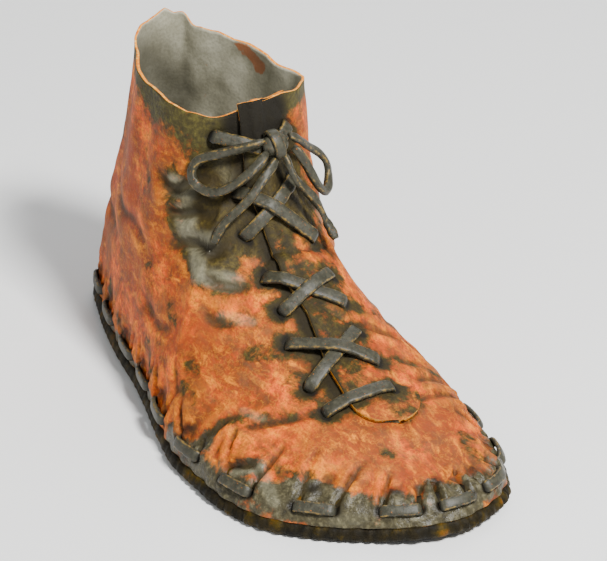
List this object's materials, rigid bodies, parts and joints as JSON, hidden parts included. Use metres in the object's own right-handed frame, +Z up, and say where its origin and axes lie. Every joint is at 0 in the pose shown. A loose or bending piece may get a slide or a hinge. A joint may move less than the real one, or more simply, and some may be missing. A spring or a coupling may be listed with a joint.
{
  "type": "leather shoe",
  "caption": "Right ankle-high shoe of soft mottled leather, one-piece upper lapped over the instep, thong laces tied in a bow, turned-up sole sewn with thong stitches.",
  "frame": {"origin": "middle of the heel's flat resting spot on the floor", "axes": "+X to the toe, +Y to the inner side of the foot, +Z up"},
  "size_m": [0.2948, 0.1306, 0.1419],
  "materials": {
    "mottled_hide": "orange-brown hide mottled with olive grey, worn and lightly waxed",
    "sole_leather": "dark brown sole hide, gathered and dull",
    "insole_leather": "grey-brown smooth leather",
    "thong_leather": "dark olive leather thong with worn tan edges"
  },
  "bodies": {
    "root": {"upper": "mottled_hide", "sole": "sole_leather", "insole": "insole_leather", "lace_cross_top": "thong_leather", "lace_cross_middle": "thong_leather", "lace_cross_low": "thong_leather", "lace_bar": "thong_leather", "lace_strand_outer": "thong_leather", "lace_strand_inner": "thong_leather", "bow_knot": "thong_leather", "bow_loop_outer": "thong_leather", "bow_loop_inner": "thong_leather", "bow_end_outer": "thong_leather", "bow_end_inner": "thong_leather", "sole_stitch_01": "thong_leather", "sole_stitch_02": "thong_leather", "sole_stitch_03": "thong_leather", "sole_stitch_04": "thong_leather", "sole_stitch_05": "thong_leather", "sole_stitch_06": "thong_leather", "sole_stitch_07": "thong_leather", "sole_stitch_08": "thong_leather", "sole_stitch_09": "thong_leather", "sole_stitch_10": "thong_leather", "sole_stitch_11": "thong_leather", "sole_stitch_12": "thong_leather", "sole_stitch_13": "thong_leather", "sole_stitch_14": "thong_leather", "sole_stitch_15": "thong_leather", "sole_stitch_16": "thong_leather", "sole_stitch_17": "thong_leather", "sole_stitch_18": "thong_leather", "sole_stitch_19": "thong_leather", "sole_stitch_20": "thong_leather", "sole_stitch_21": "thong_leather"}
  },
  "joints": []
}
